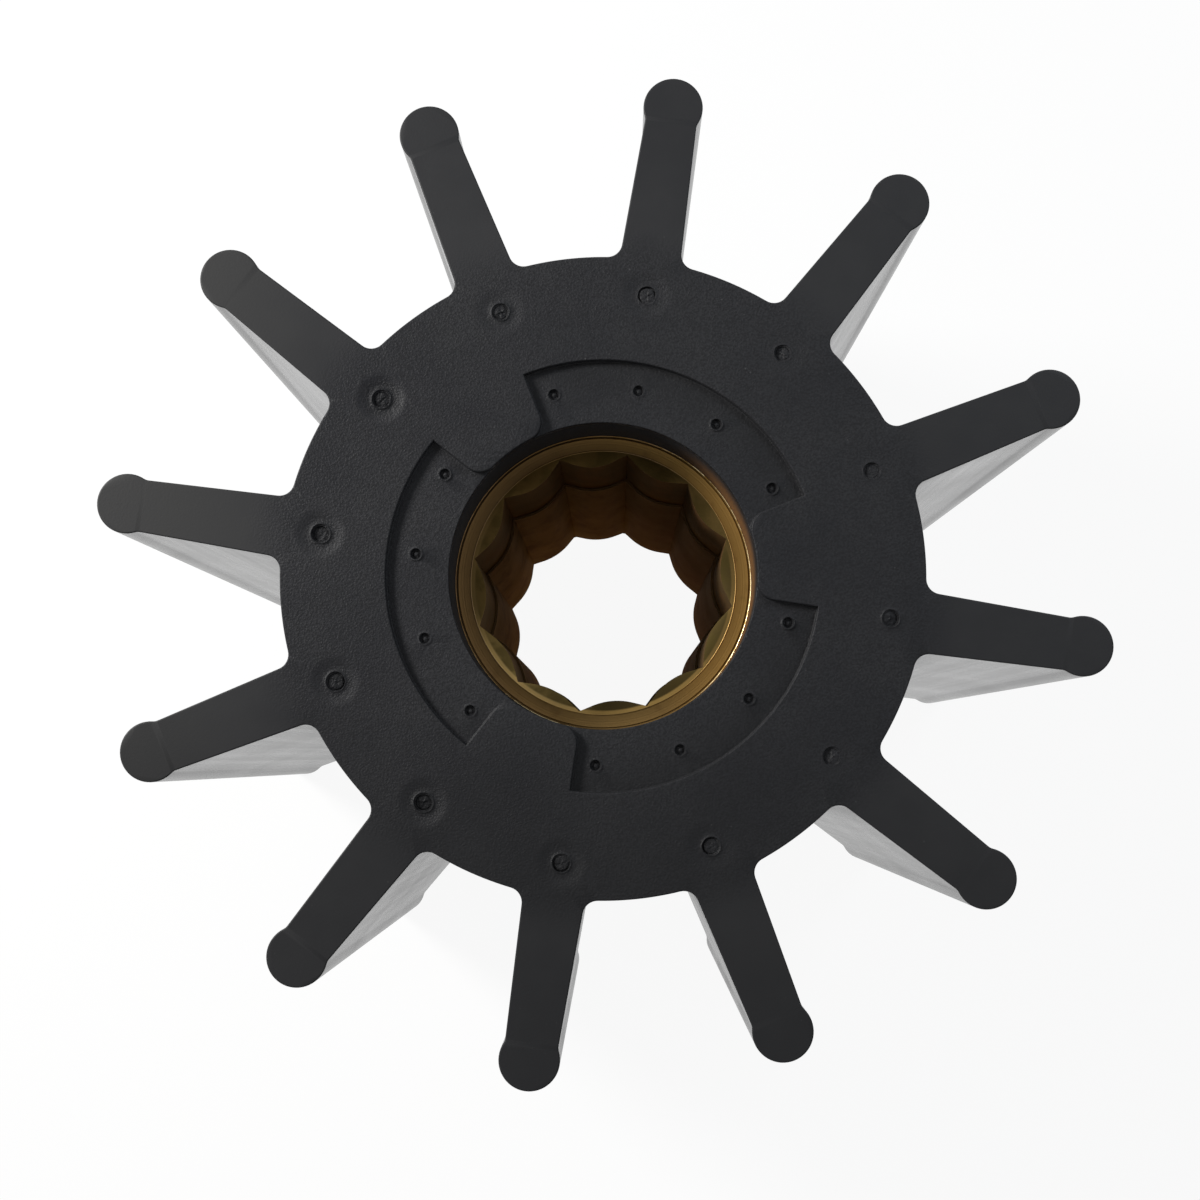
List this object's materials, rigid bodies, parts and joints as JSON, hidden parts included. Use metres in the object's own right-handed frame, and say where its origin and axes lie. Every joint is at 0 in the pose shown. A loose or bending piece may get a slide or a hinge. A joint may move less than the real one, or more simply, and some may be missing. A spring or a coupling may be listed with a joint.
{
  "type": "rubber pump impeller",
  "caption": "Flexible pump impeller: straight rubber blades with beaded tips round a hub, moulded on a splined brass insert that is set back in its bore.",
  "frame": {"origin": "centre of the rear face, on the shaft's axis", "axes": "+Z along the shaft towards the front face with the recesses; +X and +Y each along a blade"},
  "size_m": [0.095, 0.095, 0.0889],
  "materials": {
    "rubber": "satin moulded black rubber",
    "brass": "turned brass, dulled"
  },
  "bodies": {
    "root": {"rubber_body": "rubber", "brass_insert": "brass"}
  },
  "joints": []
}
